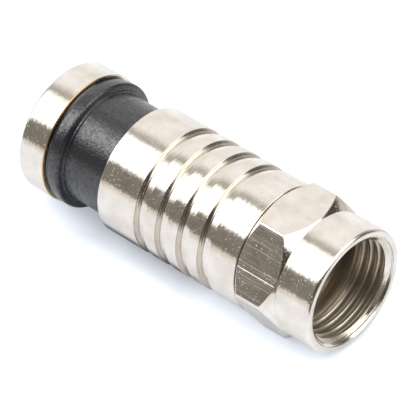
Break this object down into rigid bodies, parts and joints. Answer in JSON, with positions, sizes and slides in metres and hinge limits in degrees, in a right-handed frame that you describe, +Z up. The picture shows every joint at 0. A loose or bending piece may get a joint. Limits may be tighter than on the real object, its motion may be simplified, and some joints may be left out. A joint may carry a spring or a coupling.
{
  "type": "f connector",
  "caption": "Straight compression connector for coaxial cable: free-turning hexagon nut with a round threaded nose, grooved barrel, black sliding sleeve and rear metal ring.",
  "frame": {"origin": "centre of the inner post's front face, the plane that the mating port seats against", "axes": "+X along the connector's axis and out of the nut's mouth, +Z up as the connector lies on its side"},
  "size_m": [0.0311, 0.0126, 0.0116],
  "materials": {
    "nut_nickel": "polished nickel plate",
    "body_nickel": "polished nickel plate",
    "post_nickel": "bright nickel plate",
    "seal_rubber": "matt",
    "sleeve_plastic": "satin moulded",
    "ring_nickel": "polished nickel plate"
  },
  "bodies": {
    "barrel": {"connector_body": "body_nickel", "inner_post": "post_nickel", "nut_seal": "seal_rubber"},
    "nut": {"coupling_nut": "nut_nickel"},
    "sleeve": {"compression_sleeve": "sleeve_plastic", "rear_ring": "ring_nickel"}
  },
  "joints": [
    {"name": "nut_swivel", "type": "hinge", "parent": "barrel", "child": "nut", "pos_m": [0, 0, 0], "axis": [1, 0, 0], "continuous": true},
    {"name": "sleeve_compression", "type": "slide", "parent": "barrel", "child": "sleeve", "axis": [1, 0, 0], "range_m": [0, 0.004]}
  ]
}
